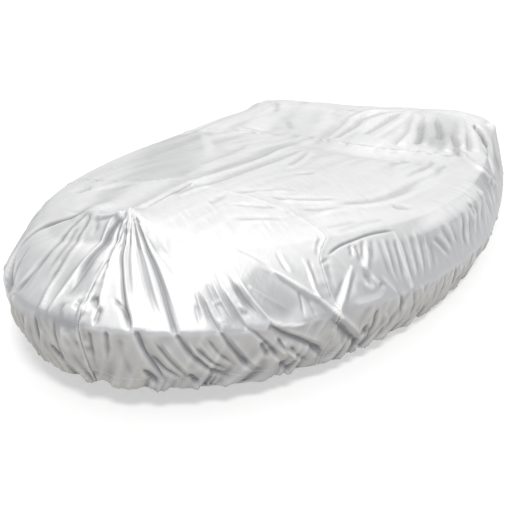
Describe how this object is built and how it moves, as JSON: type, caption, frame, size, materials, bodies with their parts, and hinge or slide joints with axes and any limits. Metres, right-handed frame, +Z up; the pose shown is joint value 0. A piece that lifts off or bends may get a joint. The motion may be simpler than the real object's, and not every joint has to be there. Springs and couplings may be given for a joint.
{
  "type": "fitted boat cover",
  "caption": "Fitted cover of silver coated cloth for a small boat, sewn from cut panels, peaked at the bow, with a gathered elastic hem; hollow underneath.",
  "frame": {"origin": "on the underside of the top at mid length, where the deck carries the cloth", "axes": "+Z up, bow towards -Y, stern towards +Y, port side towards +X"},
  "size_m": [1.7023, 2.87, 0.4898],
  "materials": {
    "silver_cloth": "soft silver sheen"
  },
  "bodies": {
    "root": {"bow_port": "silver_cloth", "bow_starboard": "silver_cloth", "middle": "silver_cloth", "stern": "silver_cloth"}
  },
  "joints": []
}
